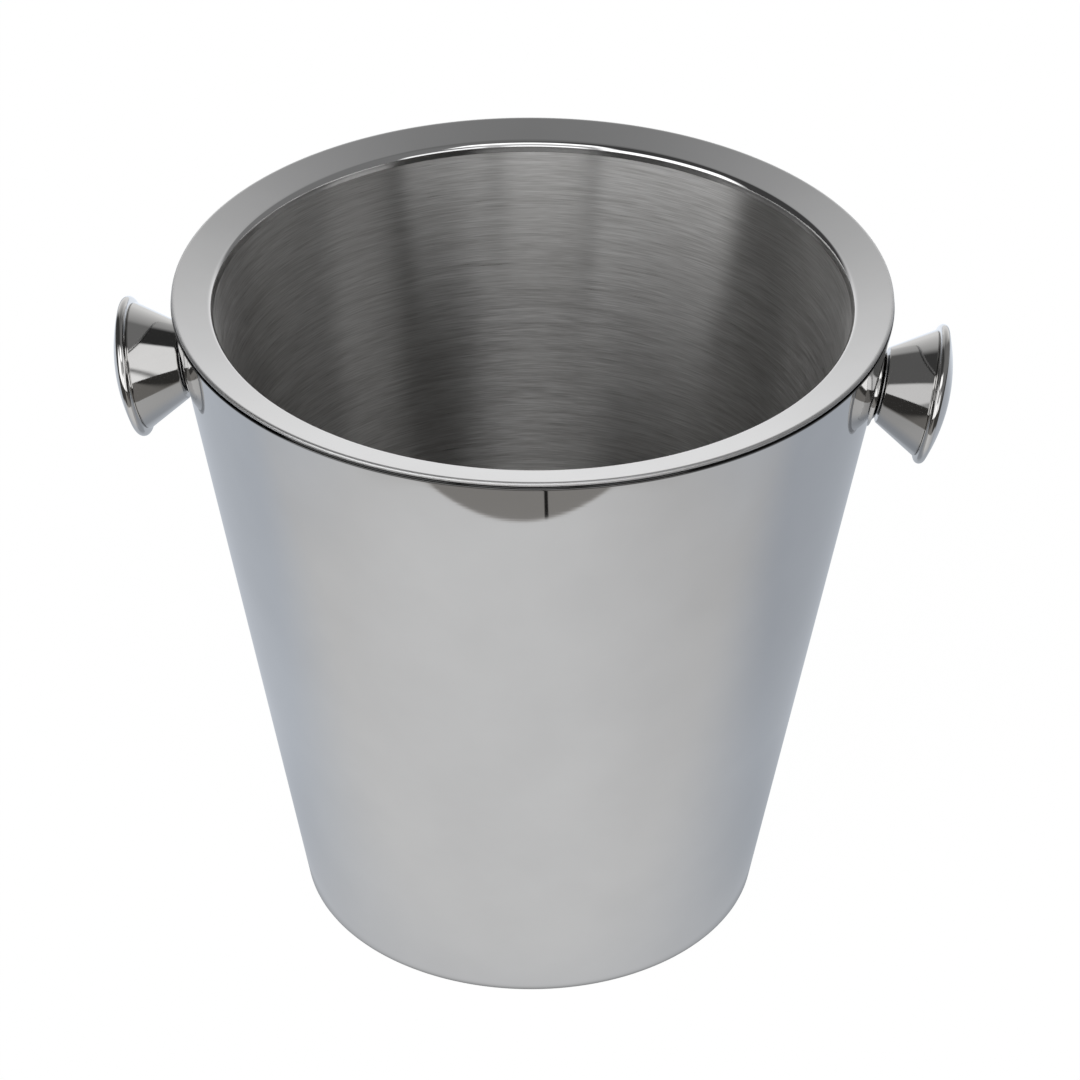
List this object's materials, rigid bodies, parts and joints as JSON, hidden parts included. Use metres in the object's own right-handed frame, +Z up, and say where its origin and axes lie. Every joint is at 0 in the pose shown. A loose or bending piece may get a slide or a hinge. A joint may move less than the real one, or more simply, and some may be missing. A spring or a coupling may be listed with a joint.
{
  "type": "champagne bucket",
  "caption": "Tapered double-walled metal champagne bucket with a sloped polished rim, brushed liner and a trumpet-shaped knob on each side.",
  "frame": {"origin": "centre of the flat ring that the bucket stands on", "axes": "+Z up along the bucket's axis, +X along the line through both knobs, +Y towards the back"},
  "size_m": [0.235, 0.201, 0.1963],
  "materials": {
    "mirror_steel": "mirror-polished stainless steel",
    "rim_steel": "mirror-polished stainless steel",
    "knob_steel": "mirror-polished stainless steel",
    "brushed_steel": "circumferentially brushed stainless steel",
    "base_steel": "satin spun stainless steel",
    "plain_steel": "plain unpolished stainless steel",
    "zinc_steel": "zinc-plated steel"
  },
  "bodies": {
    "root": {"outer_shell": "mirror_steel", "base_plate": "base_steel", "inner_liner": "brushed_steel", "rim_collar": "rim_steel", "right_knob_rosette": "knob_steel", "right_knob_spacer": "plain_steel", "right_knob_bell": "knob_steel", "right_knob_cap": "knob_steel", "right_knob_threaded_insert": "plain_steel", "right_knob_stud": "zinc_steel", "right_wall_doubler": "plain_steel", "right_lock_washer": "zinc_steel", "right_hex_nut": "zinc_steel", "left_knob_rosette": "knob_steel", "left_knob_spacer": "plain_steel", "left_knob_bell": "knob_steel", "left_knob_cap": "knob_steel", "left_knob_threaded_insert": "plain_steel", "left_knob_stud": "zinc_steel", "left_wall_doubler": "plain_steel", "left_lock_washer": "zinc_steel", "left_hex_nut": "zinc_steel"}
  },
  "joints": []
}
